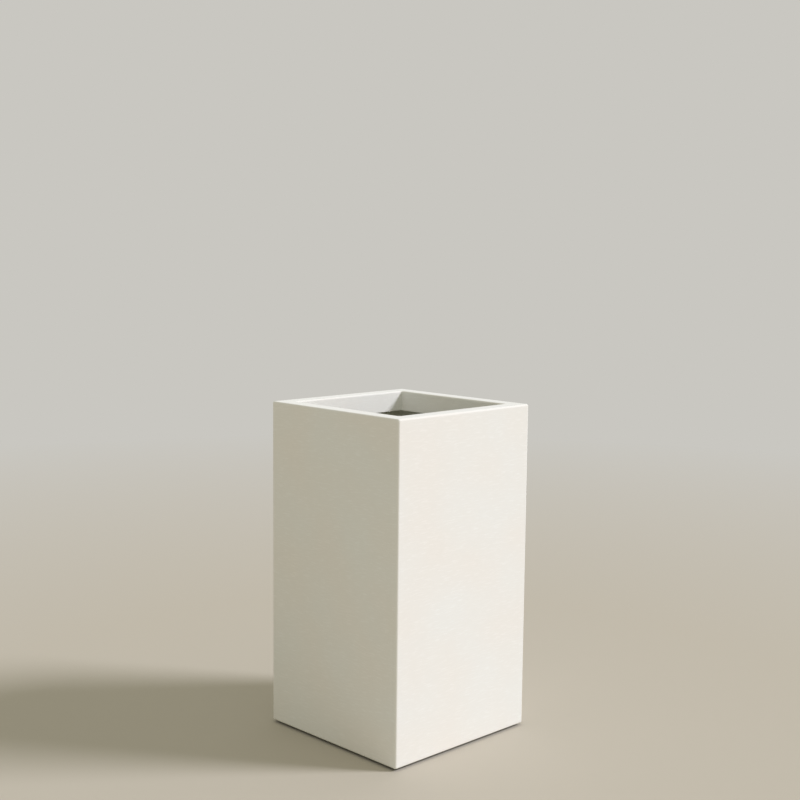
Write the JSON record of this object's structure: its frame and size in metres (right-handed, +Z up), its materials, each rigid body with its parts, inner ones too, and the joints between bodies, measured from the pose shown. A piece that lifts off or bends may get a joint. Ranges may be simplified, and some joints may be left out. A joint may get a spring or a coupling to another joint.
{
  "type": "tall planter",
  "caption": "Tall square fibreglass floor planter with a wide flat rim, an open planting space, a lift-out false floor on ledges, a pull-out drain plug and low rubber feet.",
  "frame": {"origin": "on the ground at the middle of the planter, under the feet", "axes": "+Z up, -Y to the front, +X to the right"},
  "size_m": [0.44, 0.44, 0.805],
  "materials": {
    "shell_paint": "satin white paint on fibreglass",
    "pan_flowcoat": "brushed grey flow coat on glass mat",
    "batten_timber": "sawn softwood, resin sealed",
    "ledge_fibreglass": "pultruded fibreglass",
    "shelf_gelcoat": "satin pale grey gelcoat",
    "foot_rubber": "moulded black rubber",
    "block_plywood": "marine plywood, resin sealed",
    "stainless_steel": "turned stainless steel",
    "plug_rubber": "moulded dark rubber"
  },
  "bodies": {
    "planter": {"outer_shell": "shell_paint", "floor_pan": "pan_flowcoat", "rim_batten_back": "batten_timber", "rim_batten_left": "batten_timber", "rim_batten_front": "batten_timber", "rim_batten_right": "batten_timber", "shelf_ledge_back": "ledge_fibreglass", "shelf_ledge_left": "ledge_fibreglass", "shelf_ledge_front": "ledge_fibreglass", "shelf_ledge_right": "ledge_fibreglass", "foot_front_left": "foot_rubber", "foot_front_right": "foot_rubber", "foot_back_right": "foot_rubber", "foot_back_left": "foot_rubber", "foot_block_front_left": "block_plywood", "foot_block_front_right": "block_plywood", "foot_block_back_right": "block_plywood", "foot_block_back_left": "block_plywood", "foot_screws": "stainless_steel", "foot_washers": "stainless_steel"},
    "false_floor": {"shelf": "shelf_gelcoat"},
    "plug": {"drain_plug": "plug_rubber"}
  },
  "joints": [
    {"name": "shelf_lift", "type": "slide", "parent": "planter", "child": "false_floor", "axis": [0, 0, 1], "range_m": [0, 0.45]},
    {"name": "drain_plug_pull", "type": "slide", "parent": "planter", "child": "plug", "axis": [0, 0, 1], "range_m": [0, 0.34]}
  ]
}
